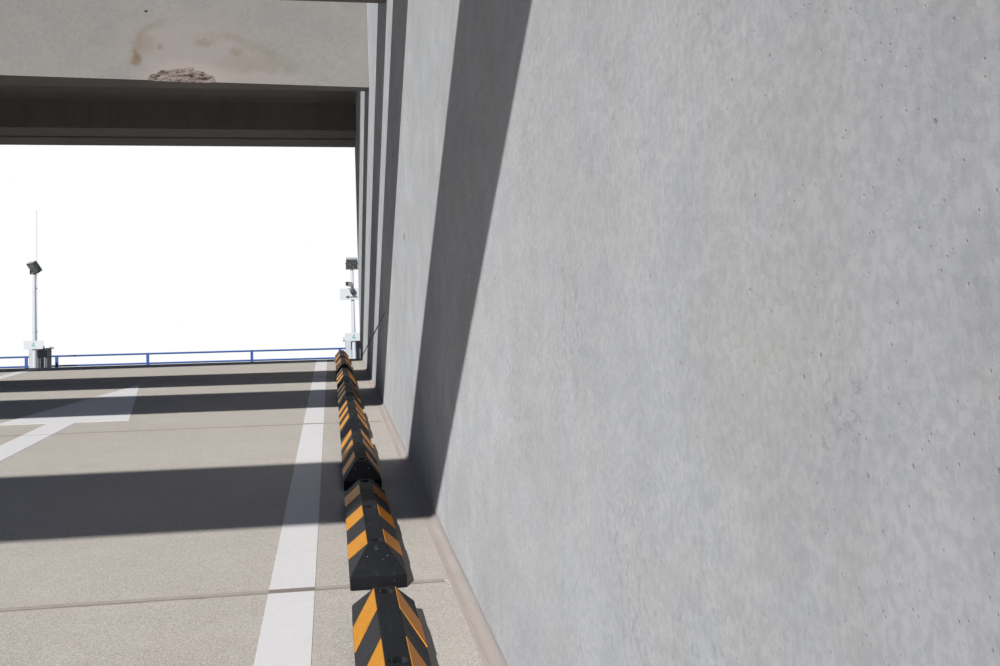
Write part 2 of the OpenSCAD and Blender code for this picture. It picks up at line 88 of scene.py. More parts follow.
# Camera, at the photograph's place just above the ramp
photoView = dict(
    place=(3.1, -12.019, 2.337),
    right=(0.98527, -0.16690, -0.03731),
    up=(0.02469, -0.07707, 0.99672),
    lens=35.244, sensor=36, reach=500,
)


def placeCamera():
    right = Vector(photoView["right"]).normalized()
    up = Vector(photoView["up"]).normalized()
    turn = Matrix((right, up, right.cross(up))).transposed()
    data = bpy.data.cameras.new("photoCamera")
    data.lens = photoView["lens"]
    data.sensor_width = photoView["sensor"]
    data.clip_end = photoView["reach"]
    camera = putIn("photoCamera", data)
    camera.matrix_world = Matrix.Translation(photoView["place"]) @ turn.to_4x4()
    bpy.context.scene.camera = camera


placeCamera()
print("camera placed")


# Materials. Colours are sRGB hex values, turned to linear.
def toLinear(colour):
    parts = [int(colour[i:i + 2], 16) / 255 for i in (1, 3, 5)]
    return (*(c / 12.92 if c <= 0.04045 else ((c + 0.055) / 1.055) ** 2.4 for c in parts), 1)


# adds one node and gives one of its outputs: settings are its properties, inputs are values, or
# sockets to link
def addNode(tree, kind, inputs=None, out=0, **settings):
    made = tree.nodes.new(kind)
    for name, value in settings.items():
        setattr(made, name, value)
    for name, value in (inputs or {}).items():
        if isinstance(value, bpy.types.NodeSocket):
            tree.links.new(value, made.inputs[name])
        else:
            made.inputs[name].default_value = value
    return made.outputs[out]


# a material with its shader set, and the object's own coordinates in metres
def startMaterial(name, **shaderValues):
    made = bpy.data.materials.new(name)
    made.use_nodes = True
    tree = made.node_tree
    shader = tree.nodes["Principled BSDF"]
    for socket, value in shaderValues.items():
        shader.inputs[socket.replace("_", " ")].default_value = value
    place = addNode(tree, "ShaderNodeTexCoord", out="Object")
    return made, tree, shader, place


eased = dict(interpolation_type="SMOOTHSTEP")  # a map range with soft ends


# soft patches from 0 to 1, so many a metre; stretch squeezes them along an axis
def patches(tree, place, perMetre, low, high, detail=4, rough=0.55, stretch=(1, 1, 1), shift=0):
    mapped = addNode(tree, "ShaderNodeMapping", {
        "Vector": place, "Scale": stretch, "Location": (shift, shift, shift)})
    cloud = addNode(tree, "ShaderNodeTexNoise", {
        "Vector": mapped, "Scale": perMetre, "Detail": detail, "Roughness": rough})
    return addNode(tree, "ShaderNodeMapRange", {
        "Value": cloud, "From Min": low, "From Max": high}, **eased)


# cells, so many a metre: a tone from 0 to 1 for each, and how far a place is from its middle
def cellTones(tree, place, perMetre):
    distance = addNode(tree, "ShaderNodeTexVoronoi", {
        "Vector": place, "Scale": perMetre}, out="Distance")
    tone = addNode(tree, "ShaderNodeSeparateColor", {"Color": distance.node.outputs["Color"]})
    return tone, distance


# round dots of a radius in metres, one in each cell, in that share of the cells
def dots(tree, place, perMetre, radius, share):
    tone, distance = cellTones(tree, place, perMetre)
    near = addNode(tree, "ShaderNodeMapRange", {
        "Value": distance, "From Min": radius * perMetre,
        "From Max": radius * perMetre * 0.5}, **eased)
    chosen = addNode(tree, "ShaderNodeMath", {0: tone, 1: share}, operation="LESS_THAN")
    return addNode(tree, "ShaderNodeMath", {0: near, 1: chosen}, operation="MULTIPLY")


# thin wandering lines, so many a metre, broken up by patches
def hairlines(tree, place, perMetre, width, shift):
    mapped = addNode(tree, "ShaderNodeMapping", {
        "Vector": place, "Location": (shift, shift, shift)})
    cloud = addNode(tree, "ShaderNodeTexNoise", {
        "Vector": mapped, "Scale": perMetre, "Detail": 6, "Roughness": 0.6})
    off = addNode(tree, "ShaderNodeMath", {0: cloud, 1: 0.5}, operation="SUBTRACT")
    off = addNode(tree, "ShaderNodeMath", {0: off}, operation="ABSOLUTE")
    line = addNode(tree, "ShaderNodeMapRange", {
        "Value": off, "From Min": width, "From Max": 0}, **eased)
    part = patches(tree, place, perMetre * 0.7, 0.5, 0.62, detail=4, shift=shift + 3)
    return addNode(tree, "ShaderNodeMath", {0: line, 1: part}, operation="MULTIPLY")


# 1 on faces that look along an axis, or also against it, and 0 on the others
def facing(tree, axis, low, high, bothWays=False):
    normal = addNode(tree, "ShaderNodeNewGeometry", out="Normal")
    along = addNode(tree, "ShaderNodeSeparateXYZ", {0: normal}, out=axis)
    if bothWays:
        along = addNode(tree, "ShaderNodeMath", {0: along}, operation="ABSOLUTE")
    return addNode(tree, "ShaderNodeMapRange", {
        "Value": along, "From Min": low, "From Max": high}, **eased)


# 0 to 1 between two heights over the ramp's floor, measured square to it
def overRamp(tree, place, start, end):
    normal = rampPlace.to_3x3().col[2]
    floor = rampPlace.to_translation().dot(normal)
    up = addNode(tree, "ShaderNodeVectorMath", {
        0: place, 1: normal}, operation="DOT_PRODUCT", out="Value")
    return addNode(tree, "ShaderNodeMapRange", {
        "Value": up, "From Min": floor + start, "From Max": floor + end}, **eased)


# lays colours over each other on the shader: a list of (strength, mask, colour)
def layColours(tree, shader, ground, layers):
    colour = toLinear(ground)
    for strength, mask, over in layers:
        amount = addNode(tree, "ShaderNodeMath", {0: mask, 1: strength}, operation="MULTIPLY")
        colour = addNode(tree, "ShaderNodeMix", {
            0: amount, 6: colour, 7: toLinear(over)}, data_type="RGBA", out=2)
    tree.links.new(colour, shader.inputs["Base Color"])


# height in metres from a list of (metres, mask), as bump on the shader
def addBump(tree, shader, heights):
    total = 0.0
    for metres, mask in heights:
        total = addNode(tree, "ShaderNodeMath", {
            0: mask, 1: metres, 2: total}, operation="MULTIPLY_ADD")
    bump = addNode(tree, "ShaderNodeBump", {"Height": total, "Strength": 1, "Distance": 1})
    tree.links.new(bump, shader.inputs["Normal"])


# The holes that the formwork's ties left, by their Y and Z: painted shade inside them
tieHoles = dict(places=[(-7.723, 3.087), (-7.16, 3.603)], radius=0.017)


def tieHoleShade(tree, place):
    flat = addNode(tree, "ShaderNodeVectorMath", {0: place, 1: (0, 1, 1)}, operation="MULTIPLY")
    masks = []
    for centre in tieHoles["places"]:
        away = addNode(tree, "ShaderNodeVectorMath", {
            0: flat, 1: (0, *centre)}, operation="DISTANCE", out="Value")
        masks.append(addNode(tree, "ShaderNodeMath", {
            0: away, 1: tieHoles["radius"]}, operation="LESS_THAN"))
    return masks


# Smooth concrete cast against coated boards: pale grey, clouded, with pinholes and pale flecks,
# warmer high up, with a painted sky reflection that makes it bluer near the floor and a painted
# sheen that makes it paler past the ramp's first metres
def formedConcrete():
    made, tree, shader, place = startMaterial(
        "formedConcrete", Roughness=0.9, Specular_IOR_Level=0.1, Diffuse_Roughness=0.3)
    clouds = patches(tree, place, 1.6, 0.34, 0.66, detail=9, rough=0.62)
    warmPatches = patches(tree, place, 5, 0.4, 0.66, detail=7, rough=0.6, shift=21)
    drifts = patches(tree, place, 1, 0.4, 0.66, detail=6, rough=0.6, stretch=(1, 6, 1.6), shift=4)
    mottles = patches(
        tree, place, 13, 0.38, 0.62, detail=8, rough=0.68, stretch=(1, 0.6, 1), shift=7)
    spots = patches(tree, place, 42, 0.4, 0.62, detail=5, rough=0.66, stretch=(1, 0.6, 1), shift=13)
    fineMottles = patches(tree, place, 110, 0.38, 0.64, detail=4, rough=0.65, shift=11)
    scratches = hairlines(tree, place, 6, 0.008, 17)
    paleFlecks = dots(tree, place, 60, 0.0042, 0.35)  # lime, 8 mm
    holes = dots(tree, place, 120, 0.0013, 0.2)  # pinholes, 3 mm
    wideHoles = dots(tree, place, 40, 0.0024, 0.07)  # air holes, 5 mm
    pits = dots(tree, place, 11, 0.0045, 0.05)  # 9 mm
    crusted = patches(tree, place, 3, 0.47, 0.66, detail=6, rough=0.6, shift=30)
    crumbs = patches(tree, place, 75, 0.5, 0.64, detail=6, rough=0.7, shift=2)
    crust = addNode(tree, "ShaderNodeMath", {0: crusted, 1: crumbs}, operation="MULTIPLY")
    # painted sky reflection: bluer near the floor
    low = overRamp(tree, place, 0.8, 0)
    high = overRamp(tree, place, 1.3, 2.3)
    # painted sheen: paler past the ramp's first metres
    along = addNode(tree, "ShaderNodeSeparateXYZ", {0: place}, out=1)
    paintedFarSheen = addNode(tree, "ShaderNodeMapRange", {
        "Value": along, "From Min": -11, "From Max": -9.2}, **eased)  # Y of those first metres
    layColours(tree, shader, "#aeafb0", [
        (0.7, low, "#afb2b9"),
        (0.85, high, "#b9b8b4"),
        (0.85, paintedFarSheen, "#cdcece"),
        (0.65, clouds, "#a2a4a5"),
        (0.5, warmPatches, "#b0ada5"),
        (0.5, drifts, "#b8b9bb"),
        (0.4, mottles, "#9c9d9f"),
        (0.3, spots, "#bdbdbd"),
        (0.42, fineMottles, "#98999a"),
        (0.45, paleFlecks, "#c6c6c4"),
        (0.5, scratches, "#85868a"),
        (0.4, crust, "#808181"),
        (0.3, holes, "#82817f"),
        (0.35, wideHoles, "#7b7977"),
        (0.5, pits, "#706f6d"),
        # painted shade in the tie holes
        *[(1, hole, "#1c1b1a") for hole in tieHoleShade(tree, place)],
    ])
    addBump(tree, shader, [
        (0.0004, drifts), (0.0001, fineMottles),
        (-0.0002, holes), (-0.0003, wideHoles), (-0.0005, pits)])
    return made


# Concrete beams: the same mix, greyer, with darker drips and coarser clouds
def beamConcrete():
    made, tree, shader, place = startMaterial(
        "beamConcrete", Roughness=0.9, Specular_IOR_Level=0.15)
    clouds = patches(tree, place, 2.2, 0.3, 0.7, detail=8, rough=0.65)
    drips = patches(tree, place, 1, 0.5, 0.72, detail=5, stretch=(11, 11, 0.8), shift=3)
    grain = patches(tree, place, 60, 0.4, 0.7, detail=4, shift=6)
    holes = dots(tree, place, 22, 0.0035, 0.22)
    patchy = patches(tree, place, 4.5, 0.42, 0.68, detail=6, rough=0.6, shift=14)
    layColours(tree, shader, "#7f7c77", [
        (0.6, clouds, "#73706b"),
        (0.4, patchy, "#87807a"),
        (0.35, drips, "#686560"),
        (0.3, grain, "#8a8782"),
        (0.75, holes, "#4b4945"),
    ])
    addBump(tree, shader, [(0.001, clouds), (0.0004, grain), (-0.0015, holes)])
    return made


# The stain on the tapered beam, in metres from the middle of its broken edge at the soffit.
# A spot is x, z, half its width and half its height; a ring is drawn round such an ellipse.
# Its ringWidth and fadeOut are shares of the ellipse, and push moves its outline about.
stain = dict(
    halo=(0.08, 0.24, 0.6, 0.32),
    rim=(0.02, 0.03, 0.36, 0.14),
    lowBand=(0.5, 0.035, 0.5, 0.07),
    outerRing=(0.05, 0.18, 0.38, 0.31), outerPart=(-0.24, 0.32, 0.24, 0.24),
    archRing=(0.1, -0.02, 0.71, 0.38), archPart=(0.42, 0.27, 0.44, 0.19),
    tideSpots=[(-0.314, 0.16, 0.05, 0.075), (-0.26, 0.27, 0.09, 0.1), (0.157, 0.29, 0.09, 0.045),
               (-0.15, 0.255, 0.025, 0.03), (0.39, 0.235, 0.08, 0.045), (0.78, 0.12, 0.08, 0.07)],
    tideStrengths=(0.8, 0.3, 0.35, 0.45, 0.35, 0.2),
    lowTide=(0.49, 0.145, 0.26, 0.1),
    fixing=(-0.243, 0.512, 0.014, 0.011),
    ringWidth=0.17, fadeOut=1.15, push=0.16,
)


# how far out of an ellipse a place is: 1 on its line
def ellipseReach(tree, place, spot):
    x, z, halfWidth, halfHeight = spot
    local = addNode(tree, "ShaderNodeMapping", {
        "Vector": place, "Location": (-x / halfWidth, 0, -z / halfHeight),
        "Scale": (1 / halfWidth, 0, 1 / halfHeight)})
    return addNode(tree, "ShaderNodeVectorMath", {0: local}, operation="LENGTH", out="Value")


def softSpot(tree, place, spot, solid=0.35):
    return addNode(tree, "ShaderNodeMapRange", {
        "Value": ellipseReach(tree, place, spot), "From Min": stain["fadeOut"], "From Max": solid},
        **eased)


def softRing(tree, place, spot, part):
    offLine = addNode(tree, "ShaderNodeMath", {
        0: ellipseReach(tree, place, spot), 1: 1}, operation="SUBTRACT")
    offLine = addNode(tree, "ShaderNodeMath", {0: offLine}, operation="ABSOLUTE")
    line = addNode(tree, "ShaderNodeMapRange", {
        "Value": offLine, "From Min": stain["ringWidth"], "From Max": 0}, **eased)
    near = softSpot(tree, place, part, 0.5)
    return addNode(tree, "ShaderNodeMath", {0: line, 1: near}, operation="MULTIPLY")


# The beam that water ran through: a paler pinkish patch with brown tide marks over its broken edge
def stainedConcrete():
    made, tree, shader, place = startMaterial(
        "stainedConcrete", Roughness=0.9, Specular_IOR_Level=0.15)
    clouds = patches(tree, place, 2.6, 0.3, 0.7, detail=8, rough=0.65)
    grain = patches(tree, place, 60, 0.4, 0.7, detail=4, shift=6)
    holes = dots(tree, place, 16, 0.004, 0.2)
    fromBreak = addNode(tree, "ShaderNodeVectorMath", {
        0: place, 1: (breakX, 0, soffitZ)}, operation="SUBTRACT")
    warp = addNode(tree, "ShaderNodeTexNoise", {
        "Vector": place, "Scale": 7, "Detail": 9, "Roughness": 0.66}, out="Color")
    centred = addNode(tree, "ShaderNodeVectorMath", {
        0: warp, 1: (0.5, 0.5, 0.5)}, operation="SUBTRACT")
    pushed = addNode(tree, "ShaderNodeVectorMath", {
        0: centred, 1: (stain["push"], 0, stain["push"]), 2: fromBreak}, operation="MULTIPLY_ADD")
    uneven = patches(tree, place, 9, 0.25, 0.6, detail=5, rough=0.65, shift=9)
    patchy = patches(tree, place, 4.5, 0.4, 0.66, detail=7, rough=0.62, shift=14)
    mottles = patches(tree, place, 24, 0.4, 0.66, detail=6, rough=0.65, shift=18)
    sand = patches(tree, place, 130, 0.42, 0.6, detail=3, rough=0.7, shift=25)
    tides = [(strength, softSpot(tree, pushed, spot, 0.2), "#66533a")
             for strength, spot in zip(stain["tideStrengths"], stain["tideSpots"])]
    rings = []
    for name in ("outer", "arch"):
        ring = softRing(tree, pushed, stain[name + "Ring"], stain[name + "Part"])
        ring = addNode(tree, "ShaderNodeMath", {0: ring, 1: uneven}, operation="MULTIPLY")
        rings.append((0.34, ring, "#6a5e4f"))
    layColours(tree, shader, "#83817c", [
        (0.7, clouds, "#757470"),
        (0.55, patchy, "#88817a"),
        (0.4, mottles, "#73726e"),
        (0.3, grain, "#8a8782"),
        (0.45, sand, "#706e69"),
        (0.55, softSpot(tree, pushed, stain["halo"], 0.4), "#8a807b"),
        (0.3, softSpot(tree, pushed, stain["lowTide"]), "#776a5a"),
        *rings,
        *tides,
        (0.45, softSpot(tree, pushed, stain["lowBand"]), "#908580"),
        (0.55, softSpot(tree, pushed, stain["rim"], 0.4), "#968b84"),
        (0.6, holes, "#4b4945"),
        (0.9, softSpot(tree, fromBreak, stain["fixing"], 0.6), "#26231f"),
    ])
    addBump(tree, shader, [(0.001, clouds), (0.0004, grain), (-0.002, holes)])
    return made


# Broken concrete: pale torn paste with red brown cracks between the stones, most of them low down
def brokenConcrete():
    made, tree, shader, place = startMaterial(
        "brokenConcrete", Roughness=0.95, Specular_IOR_Level=0.15)
    lumps = patches(tree, place, 55, 0.35, 0.65, detail=6, rough=0.7)
    cracks = patches(
        tree, place, 34, 0.49, 0.38, detail=8, rough=0.78, stretch=(0.45, 1, 1.5), shift=5)
    height = addNode(tree, "ShaderNodeSeparateXYZ", {0: place}, out=2)
    low = addNode(tree, "ShaderNodeMapRange", {
        "Value": height, "From Min": soffitZ + 0.11, "From Max": soffitZ + 0.045,
        "To Min": 0.12})  # from the break's top down to its lower half
    lowCracks = addNode(tree, "ShaderNodeMath", {0: cracks, 1: low}, operation="MULTIPLY")
    layColours(tree, shader, "#81766f", [(0.6, lumps, "#8f847d"), (0.95, lowCracks, "#46302a")])
    addBump(tree, shader, [(0.002, lumps), (-0.005, lowCracks)])
    return made


sandPerMetre = 480  # the sand's grain of about 1 mm is drawn 2 mm coarse so that it shows


# Floor coating with quartz sand scattered in it: warm beige, with some pale and some dark grains
def sandedCoating():
    made, tree, shader, place = startMaterial(
        "sandedCoating", Roughness=0.95, Specular_IOR_Level=0.05)
    tone = cellTones(tree, place, sandPerMetre)[0]
    clouds = patches(tree, place, 0.9, 0.3, 0.7, detail=6, rough=0.6)
    film = patches(tree, place, 5, 0.45, 0.7, detail=5, shift=8)
    paleSand = addNode(tree, "ShaderNodeMath", {0: tone, 1: 0.7}, operation="GREATER_THAN")
    darkSand = addNode(tree, "ShaderNodeMath", {0: tone, 1: 0.22}, operation="LESS_THAN")
    crumbs = dots(tree, place, 3.1, 0.012, 0.16)  # bits of grit
    layColours(tree, shader, "#bcb4aa", [
        (0.65, clouds, "#b0a89d"),
        (0.45, film, "#c5bdb3"),
        (0.7, paleSand, "#d3ccc3"),
        (0.65, darkSand, "#988f86"),
        (0.8, crumbs, "#6d655d"),
    ])
    addBump(tree, shader, [(0.0004, tone), (0.0008, film)])
    return made


# Trowelled mortar in the corner: pinkish brown, smeared along the wall, greyer at its top
def coveMortar():
    made, tree, shader, place = startMaterial("coveMortar", Roughness=0.88, Specular_IOR_Level=0.15)
    smears = patches(tree, place, 1, 0.35, 0.65, detail=7, rough=0.65, stretch=(30, 3, 30))
    grain = patches(tree, place, 220, 0.35, 0.65, detail=3, shift=5)
    high = overRamp(tree, place, 0.006, 0.02)
    layColours(tree, shader, "#b0a59d", [
        (0.5, smears, "#a1958c"), (0.3, grain, "#bbb1a9"), (0.8, high, "#a8a6a5")])
    addBump(tree, shader, [(0.0015, smears), (0.0003, grain)])
    return made


# Moulded rubber from ground tyres: near black, matt, with fine crumbs and dust, greyer on the
# rough flanks, and with painted shade that makes the upright end faces darker
def mouldedRubber():
    made, tree, shader, place = startMaterial(
        "mouldedRubber", Roughness=0.75, Specular_IOR_Level=0.12)
    crumbs = patches(tree, place, 420, 0.35, 0.7, detail=3)
    dust = patches(tree, place, 9, 0.42, 0.72, detail=6, rough=0.65, shift=3)
    scuffs = patches(tree, place, 14, 0.6, 0.72, detail=5, stretch=(3, 0.6, 3), shift=12)
    specks = dots(tree, place, 120, 0.0016, 0.1)
    flanks = facing(tree, 0, 0.4, 0.6, bothWays=True)
    ends = facing(tree, 1, 0.85, 0.95, bothWays=True)
    layColours(tree, shader, "#16171a", [
        (0.5, crumbs, "#202225"),
        (0.3, dust, "#2d2e31"),
        (0.85, flanks, "#39393b"),
        # painted shade on the upright end faces
        (0.5, ends, "#0d0e10"),
        (0.25, scuffs, "#454545"),
        (0.6, specks, "#8b8b8b"),
    ])
    rough = addNode(tree, "ShaderNodeMapRange", {"Value": dust, "To Min": 0.65, "To Max": 0.85})
    tree.links.new(rough, shader.inputs["Roughness"])
    addBump(tree, shader, [(0.0005, crumbs), (0.0004, dust)])
    return made


# Glass bead sheeting set in the rubber: bright yellow orange with a fine bead pattern, and painted
# shade that makes it a deeper orange on the flanks that look to +X
def beadedYellow():
    made, tree, shader, place = startMaterial(
        "beadedYellow", Roughness=0.5, Specular_IOR_Level=0.25)
    beads = patches(tree, place, 600, 0.35, 0.65, detail=2)
    soil = patches(tree, place, 22, 0.55, 0.75, detail=5, shift=4)
    shadedFlankTint = facing(tree, 0, 0.35, 0.6)
    grains = patches(tree, place, 260, 0.42, 0.6, detail=2, shift=9)
    layColours(tree, shader, "#d38b10", [
        (0.4, beads, "#de9d26"),
        (0.45, soil, "#a36a18"),
        # painted shade on the flanks that look to +X
        (0.65, shadedFlankTint, "#bb6a0a"),
        (0.25, grains, "#8f5a12"),
    ])
    addBump(tree, shader, [(0.0002, beads)])
    return made


# Road marking paint rolled over the sanded coating: white, the sand still shows through
def markingPaint():
    made, tree, shader, place = startMaterial("markingPaint", Roughness=0.8, Specular_IOR_Level=0.2)
    tone = cellTones(tree, place, sandPerMetre)[0]
    hollow = addNode(tree, "ShaderNodeMath", {0: tone, 1: 0.25}, operation="LESS_THAN")
    wear = patches(tree, place, 6, 0.5, 0.75, detail=6, rough=0.7, shift=2)
    layColours(tree, shader, "#dedbd9", [(0.3, hollow, "#c1bdb8"), (0.3, wear, "#ccc8c4")])
    addBump(tree, shader, [(0.0004, tone)])
    return made


# Sealed joint, coated over: a smooth band near the floor's colour, with streaks of dirt along it
def jointSealant(name, colour, dirty):
    made, tree, shader, place = startMaterial(name, Roughness=0.75, Specular_IOR_Level=0.2)
    clouds = patches(tree, place, 12, 0.35, 0.65, detail=5)
    dirt = patches(tree, place, 60, 0.5, 0.7, detail=5, stretch=(0.3, 1, 1), shift=5)
    layColours(tree, shader, colour, [(0.6, dirt, dirty)])
    addBump(tree, shader, [(0.0008, clouds)])
    return made


# Baked powder coating on steel: even colour, orange peel of about 3 mm, dust on it, and on some
# pieces a painted highlight that makes their tops paler
def powderCoat(name, colour, dusty, gloss, topHighlight=0, specular=0.5):
    made, tree, shader, place = startMaterial(name, Roughness=gloss, Specular_IOR_Level=specular)
    peel = patches(tree, place, 300, 0.3, 0.7, detail=2)
    dust = patches(tree, place, 6, 0.4, 0.75, detail=6, rough=0.65, shift=5)
    layColours(tree, shader, colour, [
        # the second layer is a painted highlight on faces that look up
        (0.45, dust, dusty), (topHighlight, facing(tree, 2, 0.5, 0.75), "#9da2a6")])
    addBump(tree, shader, [(0.00012, peel)])
    return made


# Hot dip galvanised steel: grey zinc with faint spangles of about 10 mm
def galvanisedSteel():
    made, tree, shader, place = startMaterial("galvanisedSteel", Metallic=0.85, Roughness=0.42)
    tone = cellTones(tree, place, 95)[0]
    dull = patches(tree, place, 20, 0.4, 0.7, detail=5)
    layColours(tree, shader, "#b4b7ba", [(0.35, tone, "#989b9e"), (0.4, dull, "#8b8d8e")])
    addBump(tree, shader, [(0.0001, dull)])
    return made


# Lamp lens: clear moulded cover over a dark reflector with yellowish cells
def lampLens():
    made, tree, shader, place = startMaterial("lampLens", Roughness=0.3, IOR=1.49)
    haze = patches(tree, place, 30, 0.4, 0.7, detail=4)
    cells = patches(tree, place, 16, 0.48, 0.56, detail=1, shift=6)
    layColours(tree, shader, "#3b403f", [(0.6, cells, "#827a4c"), (0.4, haze, "#5c625f")])
    addBump(tree, shader, [(0.0002, haze)])
    return made


# Camera glass: near black and smooth
def cameraGlass():
    made, tree, shader, place = startMaterial("cameraGlass", Roughness=0.2, IOR=1.5)
    haze = patches(tree, place, 60, 0.45, 0.7, detail=4)
    layColours(tree, shader, "#16191d", [(0.4, haze, "#2a2e33")])
    addBump(tree, shader, [(0.0001, haze)])
    return made


# Printed sign film: even and slightly glossy, with light weathering
def signFilm(name, colour, faded):
    made, tree, shader, place = startMaterial(name, Roughness=0.35)
    weather = patches(tree, place, 14, 0.4, 0.75, detail=6)
    layColours(tree, shader, colour, [(0.35, weather, faded)])
    addBump(tree, shader, [(0.0001, weather)])
    return made


finish = dict(
    wall=formedConcrete(),
    beam=beamConcrete(),
    stainedBeam=stainedConcrete(),
    broken=brokenConcrete(),
    floor=sandedCoating(),
    cove=coveMortar(),
    rubber=mouldedRubber(),
    yellow=beadedYellow(),
    marking=markingPaint(),
    sealant=jointSealant("jointSealant", "#a89f96", "#968b82"),
    gap=jointSealant("bareSealant", "#8a7d76", "#6b5e57"),
    slit=jointSealant("dirtySealant", "#8e857d", "#70675f"),
    blue=powderCoat("blueRailCoat", "#123f80", "#27518a", 0.5, specular=0.3),
    white=powderCoat("whiteMastCoat", "#b2b5b9", "#a6a9ad", 0.5),
    # painted highlight on the housings' tops
    dark=powderCoat("darkHousingCoat", "#3f4347", "#53575a", 0.6, topHighlight=0.8, specular=0.2),
    grey=powderCoat("greyDoorCoat", "#64676a", "#5d6063", 0.7, specular=0.15),
    pale=powderCoat("paleDoorCoat", "#a9acb0", "#9b9ea1", 0.6, specular=0.3),
    zinc=galvanisedSteel(),
    lens=lampLens(),
    glass=cameraGlass(),
    signWhite=signFilm("whiteSignFilm", "#b4b7b9", "#a9acae"),
    signGreen=signFilm("greenSignFilm", "#2d8a70", "#559a86"),
    signBlack=signFilm("blackSignFilm", "#1c1d1f", "#33353a"),
)
print("materials made,", len(finish))

# the finish of each slot's nodes, and of the nodes that differ from the others in their slot
slotFinish = dict(
    wall_concrete="wall", beam_concrete="beam", floor_coating="floor", cove_mortar="cove",
    black_rubber="rubber", blue_paint="blue", white_paint="white", dark_housing="dark", zinc="zinc",
)
nodeFinish = dict(tapered_beam="stainedBeam", left_cabinet="grey", right_cabinet="grey")


def dressNodes():
    for part in frame["record"]["subparts"]:
        name = part["node"]
        kind = nodeFinish.get(name, slotFinish[part["material_slot"]])
        data = nodes[name].data
        data.materials.clear()
        data.materials.append(finish[kind])


dressNodes()
print("solids finished")


# Shapes shared by the pieces
softAngle = 0.6  # radians; a sharper bend stays an edge


# closes a bmesh into a named piece that rides on the one body
def makePiece(mesh, name, kind, smoothAngle=None):
    bmesh.ops.recalc_face_normals(mesh, faces=mesh.faces[:])
    data = toData(mesh, name)
    data.materials.append(finish[kind])
    if smoothAngle:
        data.shade_smooth()
        data.set_sharp_from_angle(angle=smoothAngle)
    made = putIn(name, data)
    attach(made, "root")
    return made


def roundEdges(mesh, edges, radius):
    bmesh.ops.bevel(mesh, geom=edges, offset=radius, segments=2, profile=0.5,
                    affect="EDGES", material=-1)


# a block by its middle and size, its edges rounded by a radius
def addBlock(mesh, middle, size, place=Matrix.Identity(4), radius=0):
    shape = place @ Matrix.Translation(middle) @ Matrix.Diagonal((*size, 1))
    verts = bmesh.ops.create_cube(mesh, size=1, matrix=shape)["verts"]
    if radius:
        roundEdges(mesh, list({edge for vert in verts for edge in vert.link_edges}), radius)


# a round or many sided bar along Z, standing on a point
def addBar(mesh, foot, radius, height, sides=16, topRadius=None, place=Matrix.Identity(4)):
    bmesh.ops.create_cone(
        mesh, cap_ends=True, segments=sides, radius1=radius,
        radius2=radius if topRadius is None else topRadius, depth=height,
        matrix=place @ Matrix.Translation(Vector(foot) + Vector((0, 0, height / 2))))


# a flat outline in X and Y, made thick along Z
def addOutline(mesh, points, thickness, place):
    face = mesh.faces.new([mesh.verts.new(place @ Vector((x, y, 0))) for x, y in points])
    grown = bmesh.ops.extrude_face_region(mesh, geom=[face])["geom"]
    lift = place.to_3x3() @ Vector((0, 0, thickness))
    risen = [v for v in grown if isinstance(v, bmesh.types.BMVert)]
    bmesh.ops.translate(mesh, verts=risen, vec=lift)


# Road markings and joints. The joints' places are measured down the slope from the ramp's head.
marking = dict(
    thick=0.0015,
    lineX=2.983, lineWidth=0.116, lineEnd=0.012,
    centreWidth=0.12, centreLength=1.9,
    arrowX=1.488, arrowTip=-2.437, headLength=2.448, headHalfWidth=0.385,
    shaftWidth=0.16, arrowLength=4.9,
    jointBacks=(2.17, 5.37, 8.57),
    bandWidth=0.034, bandThick=0.0012, bandShort=0.1,
    headBandWidth=0.02, headBandThick=0.004,
    deckBandWidth=0.03, deckBandThick=0.004, deckBandShort=0.32,
    crackWidth=0.009, crackThick=0.0018,
    smearWidth=0.012, smearThick=0.0012,
)


# the lanes' edge lines, broken at the joints, and the end of the line between the lanes
def layLines():
    m = marking
    mesh = bmesh.new()
    halfBand = m["bandWidth"] / 2
    cuts = [m["lineEnd"], *m["jointBacks"], slopeLength - m["lineEnd"]]
    landingLength = footY - frontY - m["bandWidth"]
    for side in (-1, 1):
        x = side * m["lineX"]
        for top, foot in zip(cuts, cuts[1:]):
            addBlock(mesh, (x, -(top + foot) / 2, m["thick"] / 2),
                     (m["lineWidth"], foot - top - m["bandWidth"], m["thick"]), rampPlace)
        addBlock(mesh, (x, -landingLength / 2 - halfBand, m["thick"] / 2),
                 (m["lineWidth"], landingLength, m["thick"]), landingPlace)
    addBlock(mesh, (0, -m["centreLength"] / 2 - halfBand, m["thick"] / 2),
             (m["centreWidth"], m["centreLength"], m["thick"]), rampPlace)
    makePiece(mesh, "lane_lines", "marking")


# one arrow up the right lane and one down the left lane
def layArrows():
    m = marking
    mesh = bmesh.new()
    half = m["shaftWidth"] / 2
    neck = -m["headLength"]
    outline = [
        (half, -m["arrowLength"]), (half, neck), (m["headHalfWidth"], neck), (0, 0),
        (-m["headHalfWidth"], neck), (-half, neck), (-half, -m["arrowLength"]),
    ]
    up = Matrix.Translation((m["arrowX"], m["arrowTip"], 0))
    down = Matrix.Translation((-m["arrowX"], m["arrowTip"] - m["arrowLength"], 0))
    for place in (up, down @ Matrix.Rotation(math.pi, 4, "Z")):
        addOutline(mesh, outline, m["thick"], rampPlace @ place)
    makePiece(mesh, "lane_arrows", "marking")


